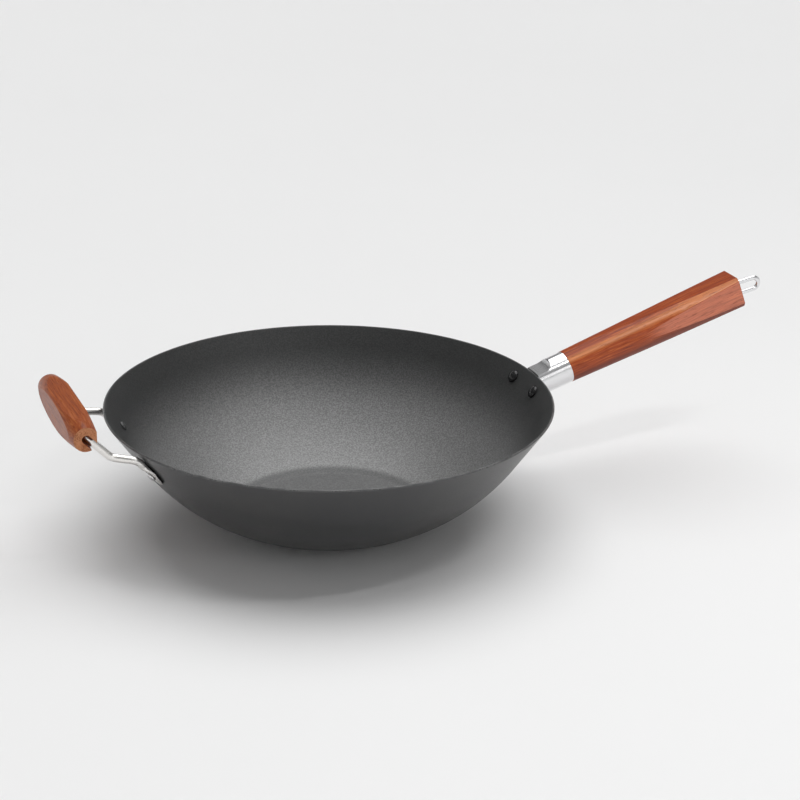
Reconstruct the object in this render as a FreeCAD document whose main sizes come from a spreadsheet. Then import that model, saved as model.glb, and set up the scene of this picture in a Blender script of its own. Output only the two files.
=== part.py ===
import FreeCAD
import Part
import Sketcher
import math
import os

from FreeCAD import Placement, Rotation, Vector

# Carbon steel wok with a long wooden handle and a wooden helper handle.
# Origin at the centre of the outer base, +Z up, +X along the long handle, millimetres.

SIZES = [
    # Bowl
    ("rim_radius", 178.0, "outer radius of the wall at the rim"),
    ("rim_height", 95.0, "height of the wall's outer edge above the base"),
    ("base_radius", 68.0, "radius of the flat base"),
    ("corner_radius", 30.0, "outer bend from the base into the wall"),
    ("body_radius", 165.0, "outer curve of the lower wall"),
    ("wall_straight", 41.2, "length of the straight upper wall, up its slope"),
    ("sheet", 1.8, "thickness of the bowl's sheet"),
    # Rivets
    ("hole_clearance", 0.05, "radial room between a shank and its hole"),
    ("seat_gap", 0.1, "room between a curved seat and the piece riveted to it"),
    ("rivet_radius", 3.0, "shank of a handle rivet"),
    ("rivet_head_radius", 5.4, "domed head inside the bowl"),
    ("rivet_head_height", 2.9, "height of that head"),
    ("rivet_tail_radius", 4.8, "closed end outside the bowl"),
    ("rivet_tail_height", 2.0, "height of the closed end"),
    ("helper_rivet_radius", 2.4, "shank of a helper rivet"),
    ("helper_head_radius", 4.0, "head of a helper rivet, both ends"),
    ("helper_head_height", 1.9, "height of that head"),
    # Long handle
    ("handle_drop", 9.0, "rim edge down to the handle rivets"),
    ("handle_rise", 17.9, "slope of the long handle above level, degrees"),
    ("handle_rivet_pitch", 38.6, "distance between the two handle rivets"),
    ("ear_radius", 8.5, "rounded ear of the socket round a rivet"),
    ("ear_thickness", 2.0, "thickness of the socket's ears"),
    ("socket_radius", 13.2, "outside of the socket"),
    ("socket_length", 38.0, "wall to the wood along the handle's axis"),
    ("socket_bore_radius", 11.6, "bore that takes the grip's spigot"),
    ("socket_bore_depth", 11.0, "depth of that bore"),
    ("socket_flat", 8.6, "axis up to the flat on top of the socket"),
    ("socket_flat_length", 17.0, "wall to where that flat runs out"),
    ("socket_run_out", 8.0, "hollow rounding of the run-out"),
    # Long grip
    ("grip_length", 163.0, "visible length of the long grip"),
    ("grip_neck_radius", 13.5, "grip at the socket"),
    ("grip_butt_radius", 17.5, "round of the grip at its butt, before its flats"),
    ("grip_top", 14.2, "axis to the top flat at the butt"),
    ("grip_top_start", 30.0, "socket to the tip of the top flat"),
    ("grip_bottom", 11.8, "axis to the bottom flat at the butt"),
    ("grip_bottom_start", 4.0, "socket to the tip of the bottom flat"),
    ("grip_side", 14.3, "axis to a side flat at the butt"),
    ("grip_side_start", 65.0, "socket to the tip of a side flat"),
    ("grip_side_roll", 84.0, "side flats turned down from the top, degrees"),
    ("grip_edge", 0.8, "rounding of the butt's edges"),
    ("spigot_clearance", 0.1, "radial room of the spigot in the socket"),
    ("spigot_short", 1.0, "end of the spigot to the bottom of the bore"),
    # Tie rod and hanging loop
    ("rod_radius", 2.4, "tie rod and its eye"),
    ("rod_thread_length", 9.0, "length screwed into the socket"),
    ("rod_clearance", 0.3, "radial room of the rod in the grip"),
    ("eye_radius", 5.0, "middle of the rod's eye"),
    ("eye_clearance", 0.6, "room round the eye in the butt"),
    ("loop_inset", 4.0, "butt in to the line that the loop swings about"),
    ("loop_wire_radius", 2.0, "wire of the hanging loop"),
    ("loop_half_width", 5.0, "middle of the loop's wire from its middle line"),
    ("loop_reach", 28.8, "swing line to the loop's tip"),
    ("loop_play", 0.3, "room between the loop and what it rests on"),
    ("loop_swing", 18.0, "swing of the loop each way from the handle's axis, degrees"),
    ("loop_droop", 7.0, "the loop at rest, down from the handle's axis, degrees"),
    ("slot_clearance", 0.5, "room each side of the loop in its slot"),
    # Helper handle
    ("wire_radius", 3.0, "wire of the helper handle"),
    ("lug_drop", 19.0, "rim edge down to the helper rivets"),
    ("lug_half_gap", 49.0, "middle line to a helper rivet"),
    ("lug_half_width", 6.8, "half width of a flattened end"),
    ("lug_half_thickness", 1.6, "half thickness of a flattened end"),
    ("lug_length", 12.0, "rivet to the tip of a flattened end"),
    ("wire_climb", 19.0, "rivet up the wall to where the wire leaves it"),
    ("wire_start", 1.0, "round wire on the wall before it turns off it"),
    ("knee_reach", 12.0, "rim edge out to the knee of the wire"),
    ("knee_drop", 1.0, "rim edge down to the knee of the wire"),
    ("leg_half_gap", 49.0, "middle line to a leg of the wire"),
    ("knee_bend", 12.0, "bends of the wire at the wall and at the knee, at its middle"),
    ("wire_bend", 7.0, "bend of the wire into the grip, at its middle"),
    ("helper_reach", 32.0, "rim edge out to the helper grip's axis"),
    ("helper_rise", 19.7, "rim edge up to the helper grip's axis"),
    ("helper_length", 118.0, "length of the helper grip"),
    ("helper_end_radius", 9.5, "helper grip at its ends"),
    ("helper_belly_radius", 15.0, "helper grip at its middle"),
    ("helper_flat", 11.0, "axis to the helper grip's top, bottom and outer flats"),
    ("helper_inner_flat", 8.0, "axis to the helper grip's flat towards the bowl"),
    ("helper_bore_clearance", 0.3, "radial room of the wire in the helper grip"),
]

# What follows from the sizes: the wall's slope, where the bends and the straight wall meet smoothly
DERIVED = [
    ("rim_across", "rim_radius - base_radius", "middle of the corner bend out to the rim edge"),
    ("rim_above", "rim_height - corner_radius", "middle of the corner bend up to the rim edge"),
    ("rim_line", "sqrt(rim_across ^ 2 + rim_above ^ 2)", "middle of the corner bend to the rim edge"),
    ("bend_line", "body_radius - corner_radius", "between the middles of the two bends"),
    ("curve_line", "sqrt(body_radius ^ 2 + wall_straight ^ 2)", "middle of the body's curve to the rim edge"),
    ("bend_angle", "acos((bend_line ^ 2 + rim_line ^ 2 - curve_line ^ 2) / (2 * bend_line * rim_line))",
     "between the lines to the rim edge and to the middle of the body's curve"),
    ("corner_turn", "bend_angle + atan(rim_above / rim_across) - 90 deg", "turn of the corner bend"),
    ("curve_across", "rim_across + bend_line * sin(corner_turn)", "middle of that curve out to the rim edge"),
    ("curve_above", "rim_above - bend_line * cos(corner_turn)", "middle of that curve up to the rim edge"),
    ("wall_angle", "90 deg + atan(curve_above / curve_across) - atan(wall_straight / body_radius)",
     "slope of the straight wall above level"),
]

NAMES = {name for name, _, _ in [*SIZES, *DERIVED]}
doc = FreeCAD.newDocument("wok")


def add_sheet():
    """The sheet that holds every size under its own name."""
    made = doc.addObject("Spreadsheet::Sheet", "Sizes")
    formulas = [(name, f"={formula}", meaning) for name, formula, meaning in DERIVED]
    for row, (name, value, meaning) in enumerate([*SIZES, *formulas], start=1):
        made.set(f"A{row}", name)
        made.set(f"B{row}", str(value))
        made.set(f"C{row}", meaning)
        made.setAlias(f"B{row}", name)
    doc.recompute()
    return made


sheet = add_sheet()


def size(name):
    """One size, as a number in millimetres or degrees."""
    value = sheet.get(name)
    return float(getattr(value, "Value", value))


def bind(thing, **formulas):
    """Ties properties of an object to the sheet: every word that is a size's name is read from it."""
    for prop, formula in formulas.items():
        words = formula.split()
        linked = " ".join(f"Sizes.{word}" if word in NAMES else word for word in words)
        thing.setExpression(prop, linked)


def add(kind, label, place=None, **formulas):
    """A new object with its sizes tied to the sheet."""
    made = doc.addObject(kind, label)
    if place is not None:
        made.Placement = place
    bind(made, **formulas)
    return made


def cylinder(label, place, radius, height):
    """A cylinder along its own Z."""
    return add("Part::Cylinder", label, place, Radius=radius, Height=height)


def box(label, place, length, width, height):
    """A box that starts at its own origin."""
    return add("Part::Box", label, place, Length=length, Width=width, Height=height)


def fuse(label, shapes):
    """Several touching shapes made into one."""
    made = doc.addObject("Part::MultiFuse", label)
    made.Shapes = shapes
    made.Refine = True
    return made


def cut(label, base, tools):
    """A shape with one or more tools taken out of it."""
    tool = tools[0] if len(tools) == 1 else fuse(f"{label}_cuts", tools)
    made = doc.addObject("Part::Cut", label)
    made.Base = base
    made.Tool = tool
    made.Refine = True
    return made


def origin_plane(body, role):
    """One of a body's own origin planes."""
    return next(item for item in body.Origin.OriginFeatures if item.Role == role)


def new_body(label):
    """An empty body."""
    return doc.addObject("PartDesign::Body", label)


def new_sketch(body, label, role):
    """An empty sketch on one of a body's origin planes."""
    made = body.newObject("Sketcher::SketchObject", label)
    made.AttachmentSupport = [(origin_plane(body, role), "")]
    made.MapMode = "FlatFace"
    return made


def shifted(x=0.0, y=0.0, z=0.0):
    """A plain move."""
    return Placement(Vector(x, y, z), Rotation())


def turned(axis, degrees):
    """A plain turn about an axis through the origin."""
    return Placement(Vector(), Rotation(axis, degrees))


X_AXIS = Vector(1, 0, 0)
Y_AXIS = Vector(0, 1, 0)
Z_AXIS = Vector(0, 0, 1)
FULL_TURN = 360.0
HALF_TURN = 180.0
QUARTER_TURN = 90.0
ALONG_X = turned(Y_AXIS, QUARTER_TURN)
# How far a cut or a joint reaches past the face it goes through
CUT_MARGIN = 5.0
# Points closer than this are the same
SAME_PLACE = 0.01
# Half depth of the ears' blank, in thicknesses of an ear
EAR_BLANK = 4.0
# Sections of a flattened end each side of its rivet, and how far round its tip they go
LEAF_STEPS = 5
LEAF_TIP = 72.0


# Places on the bowl's wall and along the handles

rim_radius = size("rim_radius")
rim_height = size("rim_height")
wall_angle = math.radians(size("wall_angle"))


def wall_radius(drop):
    """Outer radius of the straight wall, at a height below the rim edge."""
    return size("rim_radius") - drop / math.tan(wall_angle)


def wall_place(drop, side):
    """Frame on the outer wall, at a height below the rim and a distance to the side of the handles' plane.

    Its Z points out of the wall and its X up the wall. Side is measured towards +Y.
    """
    radius = wall_radius(drop)
    around = math.asin(side / radius)
    outward = Vector(math.cos(around), math.sin(around), 0)
    up_wall = outward * math.cos(wall_angle) + Z_AXIS * math.sin(wall_angle)
    normal = outward * math.sin(wall_angle) - Z_AXIS * math.cos(wall_angle)
    spot = outward * radius + Z_AXIS * (size("rim_height") - drop)
    return Placement(spot, Rotation(up_wall, normal.cross(up_wall), normal, "ZXY"))


def facing_back(place):
    """The same place on the helper's side of the bowl."""
    return turned(Z_AXIS, HALF_TURN) * place


HANDLE_SIDES = {"left": 0.5, "right": -0.5}
HELPER_SIDES = {"left": -1.0, "right": 1.0}
handle_rivet_places = {
    name: wall_place(size("handle_drop"), half * size("handle_rivet_pitch"))
    for name, half in HANDLE_SIDES.items()
}
helper_rivet_places = {
    name: facing_back(wall_place(size("lug_drop"), side * size("lug_half_gap")))
    for name, side in HELPER_SIDES.items()
}

# The long handle's frame: origin where its axis meets the wall, X along the handle, Z up
handle_place = Placement(
    Vector(wall_radius(size("handle_drop")), 0, size("rim_height") - size("handle_drop")),
    Rotation(Y_AXIS, -size("handle_rise")),
)
neck = size("socket_length")
butt = neck + size("grip_length")


# Bowl

def arc(centre_x, centre_y, radius, start, end):
    """A sketch arc from its centre, radius and angles in radians."""
    circle = Part.Circle(Vector(centre_x, centre_y, 0), Z_AXIS, radius)
    return Part.ArcOfCircle(circle, start, end)


def segment(start, end):
    """A sketch line between two (x, y) points."""
    return Part.LineSegment(Vector(*start, 0), Vector(*end, 0))


def constrain(sketch, *values):
    """One constraint on a sketch."""
    return sketch.addConstraint(Sketcher.Constraint(*values))


def dimension(sketch, formula, *values):
    """One dimension on a sketch, tied to the sheet."""
    index = constrain(sketch, *values)
    bind(sketch, **{f"Constraints[{index}]": formula})


def bowl_profile(body):
    """Half section of the bowl: base, two tangent bends, straight wall and a round lip, with an even sheet."""
    sketch = new_sketch(body, "bowl_profile", "XZ_Plane")
    rim, height, base = size("rim_radius"), size("rim_height"), size("base_radius")
    corner, curve, sheet_size = size("corner_radius"), size("body_radius"), size("sheet")
    corner_turn = math.radians(size("corner_turn"))
    down = -math.pi / 2
    joint = (base + corner * math.sin(corner_turn), corner - corner * math.cos(corner_turn))
    centre = (joint[0] - curve * math.sin(corner_turn), joint[1] + curve * math.cos(corner_turn))
    inner_curve = curve - sheet_size

    def on_curve(radius):
        return centre[0] + radius * math.sin(wall_angle), centre[1] - radius * math.cos(wall_angle)

    inward = (-math.sin(wall_angle), math.cos(wall_angle))
    inner_rim = (rim + sheet_size * inward[0], height + sheet_size * inward[1])
    lip = ((rim + inner_rim[0]) / 2, (height + inner_rim[1]) / 2)
    sketch.addGeometry([
        segment((0, 0), (base, 0)),
        arc(base, corner, corner, down, down + corner_turn),
        arc(*centre, curve, down + corner_turn, down + wall_angle),
        segment(on_curve(curve), (rim, height)),
        arc(*lip, sheet_size / 2, down + wall_angle, down + wall_angle + math.pi),
        segment(inner_rim, on_curve(inner_curve)),
        arc(*centre, inner_curve, down + corner_turn, down + wall_angle),
        arc(base, corner, corner - sheet_size, down, down + corner_turn),
        segment((base, sheet_size), (0, sheet_size)),
        segment((0, sheet_size), (0, 0)),
    ], False)
    (bottom, corner_arc, curve_arc, wall, lip_arc,
     inner_wall, inner_curve_arc, inner_corner_arc, floor, middle) = range(10)
    origin, start, end, centre_point = -1, 1, 2, 3
    constrain(sketch, "Coincident", bottom, start, origin, start)
    constrain(sketch, "Horizontal", bottom)
    smooth_joints = [
        (bottom, end, corner_arc, start),
        (corner_arc, end, curve_arc, start),
        (curve_arc, end, wall, start),
        (wall, end, lip_arc, start),
        (lip_arc, end, inner_wall, start),
        (inner_wall, end, inner_curve_arc, end),
        (inner_curve_arc, start, inner_corner_arc, end),
        (inner_corner_arc, start, floor, start),
    ]
    for joint_ends in smooth_joints:
        constrain(sketch, "Tangent", *joint_ends)
    constrain(sketch, "Coincident", floor, end, middle, start)
    constrain(sketch, "Coincident", middle, end, bottom, start)
    constrain(sketch, "Vertical", middle)
    constrain(sketch, "Coincident", corner_arc, centre_point, inner_corner_arc, centre_point)
    constrain(sketch, "Coincident", curve_arc, centre_point, inner_curve_arc, centre_point)
    constrain(sketch, "Parallel", wall, inner_wall)
    dimension(sketch, "base_radius", "DistanceX", bottom, start, bottom, end, base)
    dimension(sketch, "corner_radius", "Radius", corner_arc, corner)
    dimension(sketch, "body_radius", "Radius", curve_arc, curve)
    dimension(sketch, "rim_radius", "DistanceX", origin, start, wall, end, rim)
    dimension(sketch, "rim_height", "DistanceY", origin, start, wall, end, height)
    dimension(sketch, "wall_straight", "Distance", wall, size("wall_straight"))
    dimension(sketch, "sheet", "DistanceY", middle, end, middle, start, sheet_size)
    return sketch


def hole_through(body, label, place, radius):
    """A round hole through a riveted wall, square to it."""
    hole = body.newObject("PartDesign::SubtractiveCylinder", label)
    hole.Placement = place * shifted(z=-CUT_MARGIN)
    bind(hole, Radius=f"{radius} + hole_clearance", Height=f"2 * {CUT_MARGIN}")
    return hole


def make_bowl():
    """The pressed bowl with its four rivet holes."""
    body = new_body("wok_bowl")
    sketch = bowl_profile(body)
    shell = body.newObject("PartDesign::Revolution", "bowl_shell")
    shell.Profile = sketch
    shell.ReferenceAxis = (sketch, ["V_Axis"])
    shell.Angle = FULL_TURN
    doc.recompute()
    for name, place in handle_rivet_places.items():
        hole_through(body, f"handle_hole_{name}", place, "rivet_radius")
    for name, place in helper_rivet_places.items():
        hole_through(body, f"helper_hole_{name}", place, "helper_rivet_radius")
    doc.recompute()
    return body


# Rivets

def dome(label, place, radius, height):
    """A rivet's head: a cap of a sphere, flat side down at the place's origin."""
    ball = f"( ( {radius} ) ^ 2 + ( {height} ) ^ 2 ) / ( 2 * {height} )"
    made = add("Part::Sphere", label, None, Radius=ball, Angle1=f"asin( 1 - {height} / ( {ball} ) )")
    depth = (size(radius) ** 2 - size(height) ** 2) / (2 * size(height))
    made.Placement = place * shifted(z=-depth)
    return made


def make_rivet(label, place, shank, outer, inner, stack):
    """A closed rivet: place is on the outer wall, stack is what lies on the wall under the outer end."""
    inside = -size("sheet") - size("seat_gap")
    outside = sum(size(name) for name in stack)
    turned_in = turned(X_AXIS, HALF_TURN)
    length = " + ".join(["sheet", "seat_gap", *stack])
    body = cylinder(f"{label}_shank", place * shifted(z=inside), shank, length)
    head = dome(f"{label}_inner", place * shifted(z=inside) * turned_in, *inner)
    tail = dome(f"{label}_outer", place * shifted(z=outside), *outer)
    return fuse(label, [body, head, tail])


def make_rivets():
    """The four rivets that hold the two handles."""
    head = ("rivet_head_radius", "rivet_head_height")
    tail = ("rivet_tail_radius", "rivet_tail_height")
    helper_head = ("helper_head_radius", "helper_head_height")
    ears = ["seat_gap", "ear_thickness", "seat_gap"]
    lug = ["seat_gap", "lug_half_thickness", "lug_half_thickness", "seat_gap"]
    made = []
    for name, place in handle_rivet_places.items():
        made.append(make_rivet(f"handle_rivet_{name}", place, "rivet_radius", tail, head, ears))
    for name, place in helper_rivet_places.items():
        label = f"helper_rivet_{name}"
        made.append(make_rivet(label, place, "helper_rivet_radius", helper_head, helper_head, lug))
    return made


# Long handle

def wall_cone(label, offset):
    """Everything inside the wall's outer face, moved out by an offset, for the upper half of the wall."""
    grown = f"rim_radius + ( {offset} ) / sin( wall_angle )"
    below = "( rim_height / 2 )"
    return add(
        "Part::Cone", label, shifted(z=size("rim_height") / 2),
        Radius1=f"{grown} - {below} / tan( wall_angle )", Radius2=grown, Height=below,
    )


def facet_block(label, along, out, slope, roll):
    """A block that cuts a flat on the long handle.

    The flat passes through a point along the axis and out from it, slopes away from the axis by slope degrees
    towards the butt, and faces up before it is rolled about the axis.
    """
    span = 2 * butt
    place = handle_place * turned(X_AXIS, roll) * shifted(x=along, z=out) * turned(Y_AXIS, -slope)
    corner = place * shifted(x=-span / 2, y=-span / 4)
    made = doc.addObject("Part::Box", label)
    made.Length = span
    made.Width = span / 2
    made.Height = size("grip_butt_radius")
    made.Placement = corner
    return made


def make_socket():
    """The socket: a round end that takes the grip, flat on top at the bowl, with two ears on the wall."""
    start = -2 * size("socket_radius")
    tube = cylinder("socket_tube", handle_place * shifted(x=start) * ALONG_X, "socket_radius",
                    "socket_length + 2 * socket_radius")
    ear_place = wall_place(size("handle_drop"), 0.0)
    deep = EAR_BLANK * size("ear_thickness")
    blank = f"2 * {EAR_BLANK} * ear_thickness"
    low = -size("ear_radius")
    pitch = size("handle_rivet_pitch")
    bar_corner = ear_place * shifted(low, -pitch / 2, -deep)
    bar = box("ear_bar", bar_corner, "2 * ear_radius", "handle_rivet_pitch", blank)
    ears = [
        cylinder(f"ear_{name}", ear_place * shifted(y=half * pitch, z=-deep), "ear_radius", blank)
        for name, half in HANDLE_SIDES.items()
    ]
    plate = add("Part::MultiCommon", "ear_plate")
    plate.Shapes = [fuse("ear_outline", [bar, *ears]), wall_cone("ear_cone", "seat_gap + ear_thickness")]
    above_rim = cylinder("socket_rim_room", shifted(z=size("rim_height") - size("seat_gap")),
                         "rim_radius + 2 * seat_gap / sin( wall_angle )", "2 * socket_radius")
    side = -size("socket_radius")
    flat = box("socket_flat_room", handle_place * shifted(start, side, size("socket_flat")),
               "socket_flat_length + 2 * socket_radius", "2 * socket_radius", "socket_radius")
    run_out_middle = shifted(size("socket_flat_length"), side, size("socket_flat") + size("socket_run_out"))
    run_out = cylinder("socket_run_out_room", handle_place * run_out_middle * turned(X_AXIS, -QUARTER_TURN),
                       "socket_run_out", "2 * socket_radius")
    bore = cylinder("socket_bore", handle_place * shifted(x=neck - size("socket_bore_depth")) * ALONG_X,
                    "socket_bore_radius", f"socket_bore_depth + {CUT_MARGIN}")
    thread_start = neck - size("socket_bore_depth") - size("rod_thread_length")
    thread = cylinder("socket_thread", handle_place * shifted(x=thread_start) * ALONG_X,
                      "rod_radius + hole_clearance", "rod_thread_length + socket_bore_depth")
    holes = [
        cylinder(f"ear_hole_{name}", place * shifted(z=-CUT_MARGIN), "rivet_radius + hole_clearance",
                 f"ear_thickness + 2 * {CUT_MARGIN}")
        for name, place in handle_rivet_places.items()
    ]
    flattened = cut("socket_flattened", tube, [flat, run_out])
    whole = fuse("socket_blank", [flattened, plate])
    return cut("handle_socket", whole,
               [wall_cone("socket_wall_room", "seat_gap"), above_rim, bore, thread, *holes])


def grip_radius(along):
    """Round of the long grip before its flats, from the socket."""
    share = along / size("grip_length")
    return size("grip_neck_radius") + share * (size("grip_butt_radius") - size("grip_neck_radius"))


def grip_flat(label, start, at_butt, roll):
    """Block for one flat of the long grip, from its tip to the butt."""
    tip = grip_radius(size(start))
    slope = math.degrees(math.atan((size(at_butt) - tip) / (size("grip_length") - size(start))))
    return facet_block(label, neck + size(start), tip, slope, roll)


swing_line = butt - size("loop_inset")
eye_middle = swing_line - size("eye_radius")
loop_middle = size("loop_half_width") - size("rod_radius") - size("loop_play") - size("loop_wire_radius")


def slot_half_height():
    """Half height of the slot that lets the loop swing to both its limits with room to spare."""
    swing = math.radians(size("loop_swing"))
    outer = size("loop_half_width") + size("loop_wire_radius")
    return size("loop_inset") * math.tan(swing) + outer / math.cos(swing) + size("loop_play")


def make_long_grip():
    """The long wooden grip with its spigot, flats, bore and the slot for the loop."""
    cone = add("Part::Cone", "grip_round", handle_place * shifted(x=neck) * ALONG_X,
               Radius1="grip_neck_radius", Radius2="grip_butt_radius", Height="grip_length")
    flats = [
        grip_flat("grip_flat_top", "grip_top_start", "grip_top", 0.0),
        grip_flat("grip_flat_bottom", "grip_bottom_start", "grip_bottom", HALF_TURN),
        grip_flat("grip_flat_left", "grip_side_start", "grip_side", -size("grip_side_roll")),
        grip_flat("grip_flat_right", "grip_side_start", "grip_side", size("grip_side_roll")),
    ]
    faceted = cut("grip_faceted", cone, flats)
    doc.recompute()
    rounded = doc.addObject("Part::Fillet", "grip_rounded")
    rounded.Base = faceted
    along_axis = handle_place.Rotation.multVec(X_AXIS)

    def at_butt(edge):
        distances = [(vertex.Point - handle_place.Base).dot(along_axis) - butt for vertex in edge.Vertexes]
        return all(abs(distance) < SAME_PLACE for distance in distances)

    butt_edges = [index for index, edge in enumerate(faceted.Shape.Edges, start=1) if at_butt(edge)]
    rounded.Edges = [(index, size("grip_edge"), size("grip_edge")) for index in butt_edges]
    spigot_length = size("socket_bore_depth") - size("spigot_short")
    spigot = cylinder("grip_spigot", handle_place * shifted(x=neck - spigot_length) * ALONG_X,
                      "socket_bore_radius - spigot_clearance",
                      f"socket_bore_depth - spigot_short + {CUT_MARGIN}")
    bore = cylinder("grip_bore", handle_place * ALONG_X,
                    "rod_radius + rod_clearance", "socket_length + grip_length")
    pocket_depth = size("loop_inset") + 2 * size("eye_radius") + size("rod_radius") + size("eye_clearance")
    pocket = cylinder("grip_pocket", handle_place * shifted(x=butt - pocket_depth) * ALONG_X,
                      "eye_radius + rod_radius + eye_clearance",
                      f"loop_inset + 2 * eye_radius + rod_radius + eye_clearance + {CUT_MARGIN}")
    half_width = size("loop_wire_radius") + size("slot_clearance")
    half_height = slot_half_height()
    slot = doc.addObject("Part::Box", "grip_slot")
    slot.Length = pocket_depth + CUT_MARGIN
    slot.Width = 2 * half_width
    slot.Height = 2 * half_height
    slot.Placement = handle_place * shifted(butt - pocket_depth, -half_width, -half_height)
    return cut("long_grip", fuse("grip_blank", [rounded, spigot]), [bore, pocket, slot])


def make_tie_rod():
    """The rod through the grip, screwed into the socket, with the eye that carries the loop."""
    start = neck - size("socket_bore_depth") - size("rod_thread_length") + size("spigot_short")
    length = eye_middle - size("eye_radius") - start
    rod = add("Part::Cylinder", "rod_shank", handle_place * shifted(x=start) * ALONG_X, Radius="rod_radius")
    rod.Height = length
    eye = add("Part::Torus", "rod_eye", handle_place * shifted(x=eye_middle),
              Radius1="eye_radius", Radius2="rod_radius")
    return fuse("tie_rod", [rod, eye])


def make_loop():
    """The long link through the rod's eye, drooping a little at rest."""
    rest = handle_place * shifted(x=swing_line) * turned(Y_AXIS, size("loop_droop"))
    far_middle = size("loop_reach") - size("loop_wire_radius") - size("loop_half_width")
    flat_ring = turned(X_AXIS, QUARTER_TURN)
    ends = []
    for name, middle, turn in (("near", loop_middle, QUARTER_TURN), ("far", far_middle, -QUARTER_TURN)):
        bend = add("Part::Torus", f"loop_{name}", rest * shifted(x=middle) * flat_ring * turned(Z_AXIS, turn),
                   Radius1="loop_half_width", Radius2="loop_wire_radius")
        bend.Angle3 = HALF_TURN
        ends.append(bend)
    legs = []
    for name, side in (("upper", 1), ("lower", -1)):
        place = rest * shifted(x=loop_middle, z=side * size("loop_half_width")) * ALONG_X
        leg = add("Part::Cylinder", f"loop_{name}", place, Radius="loop_wire_radius")
        leg.Height = far_middle - loop_middle
        legs.append(leg)
    return fuse("hanging_loop", [*ends, *legs])


# Helper handle

def bent_path(points, bends):
    """Straight runs through points in space, with a tangent arc of its own radius at each corner between."""
    edges = []
    last = points[0]
    for before, corner, after, bend in zip(points, points[1:], points[2:], bends):
        back = (before - corner).normalize()
        ahead = (after - corner).normalize()
        half = back.getAngle(ahead) / 2
        setback = bend / math.tan(half)
        middle_way = (back + ahead).normalize()
        start = corner + back * setback
        end = corner + ahead * setback
        middle = corner + middle_way * (bend / math.sin(half) - bend)
        edges.append(Part.LineSegment(last, start).toShape())
        edges.append(Part.Arc(start, middle, end).toShape())
        last = end
    edges.append(Part.LineSegment(last, points[-1]).toShape())
    return Part.Wire(edges)


def oval(place, along, half_width, half_thickness):
    """Oval section of a flattened end, square to the wall's up direction, resting on the wall's seat."""
    middle = place.multVec(Vector(along, 0, size("seat_gap") + half_thickness))
    across = place.Rotation.multVec(Y_AXIS)
    out = place.Rotation.multVec(Z_AXIS)
    curve = Part.Ellipse(middle + across * half_width, middle + out * half_thickness, middle)
    return Part.Wire([curve.toShape()])


def round_section(middle, normal, across, radius):
    """Round section of the wire, square to its path."""
    curve = Part.Circle(middle, normal, radius)
    curve.XAxis = across
    return Part.Wire([curve.toShape()])


def leaf_size(along, begin):
    """Half width and half thickness of a flattened end, at a distance up the wall from its rivet."""
    half_width, half_thickness = size("lug_half_width"), size("lug_half_thickness")
    if along < 0:
        share = along / size("lug_length")
        return half_width * math.sqrt(1 - share ** 2), half_thickness * (1 - share ** 2 / 2)
    seat = size("helper_head_radius") + size("seat_gap")
    share = max(0.0, (along - seat) / (begin - seat))
    blend = share ** 2 * (3 - 2 * share)
    wire = size("wire_radius")
    return half_width + blend * (wire - half_width), half_thickness + blend * (wire - half_thickness)


def flattened_end(place, begin):
    """A leaf-shaped end that grows from the round wire and lies on the wall, with its rivet hole."""
    length = size("lug_length")
    seat = size("helper_head_radius") + size("seat_gap")
    tip_angles = [math.radians(LEAF_TIP * step / LEAF_STEPS) for step in range(LEAF_STEPS, -1, -1)]
    below = [-length * math.sin(angle) for angle in tip_angles]
    above = [seat + (begin - seat) * step / LEAF_STEPS for step in range(LEAF_STEPS)]
    sections = [oval(place, along, *leaf_size(along, begin)) for along in [*below, *above]]
    lift = size("seat_gap") + size("wire_radius")
    up_wall = place.Rotation.multVec(X_AXIS)
    across = place.Rotation.multVec(Y_AXIS)
    sections.append(round_section(place.multVec(Vector(begin, 0, lift)), up_wall, across, size("wire_radius")))
    leaf = Part.makeLoft(sections, True, True)
    hole_radius = size("helper_rivet_radius") + size("hole_clearance")
    depth = 2 * size("lug_half_thickness") + CUT_MARGIN
    hole = Part.makeCylinder(hole_radius, 2 * depth, Vector(0, 0, -depth), Z_AXIS)
    hole.Placement = place
    return leaf.cut(hole)


def make_helper_wire():
    """One bent wire: a flattened end on the wall, a leg, the grip's core, and the same mirrored."""
    lift = size("seat_gap") + size("wire_radius")
    legs = {}
    ends = []
    for name, place in helper_rivet_places.items():
        leave = place.multVec(Vector(size("wire_climb"), 0, lift))
        side = math.copysign(size("leg_half_gap"), leave.y)
        knee = Vector(-rim_radius - size("knee_reach"), side, rim_height - size("knee_drop"))
        top = Vector(-rim_radius - size("helper_reach"), side, rim_height + size("helper_rise"))
        turn_off = place.Rotation.multVec(X_AXIS).getAngle(knee - leave)
        round_begin = size("wire_climb") - size("knee_bend") * math.tan(turn_off / 2) - size("wire_start")
        begin = place.multVec(Vector(round_begin, 0, lift))
        legs[name] = [begin, leave, knee, top]
        ends.append(flattened_end(place, round_begin))
    bends = [size("knee_bend"), size("knee_bend"), size("wire_bend")]
    path = bent_path([*legs["left"], *reversed(legs["right"])], [*bends, *reversed(bends)])
    left_place = helper_rivet_places["left"]
    section = round_section(legs["left"][0], left_place.Rotation.multVec(X_AXIS),
                            left_place.Rotation.multVec(Y_AXIS), size("wire_radius"))
    wire = path.makePipeShell([section], True, False)
    made = doc.addObject("Part::Feature", "helper_wire")
    made.Shape = wire.fuse(ends).removeSplitter()
    return made


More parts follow.
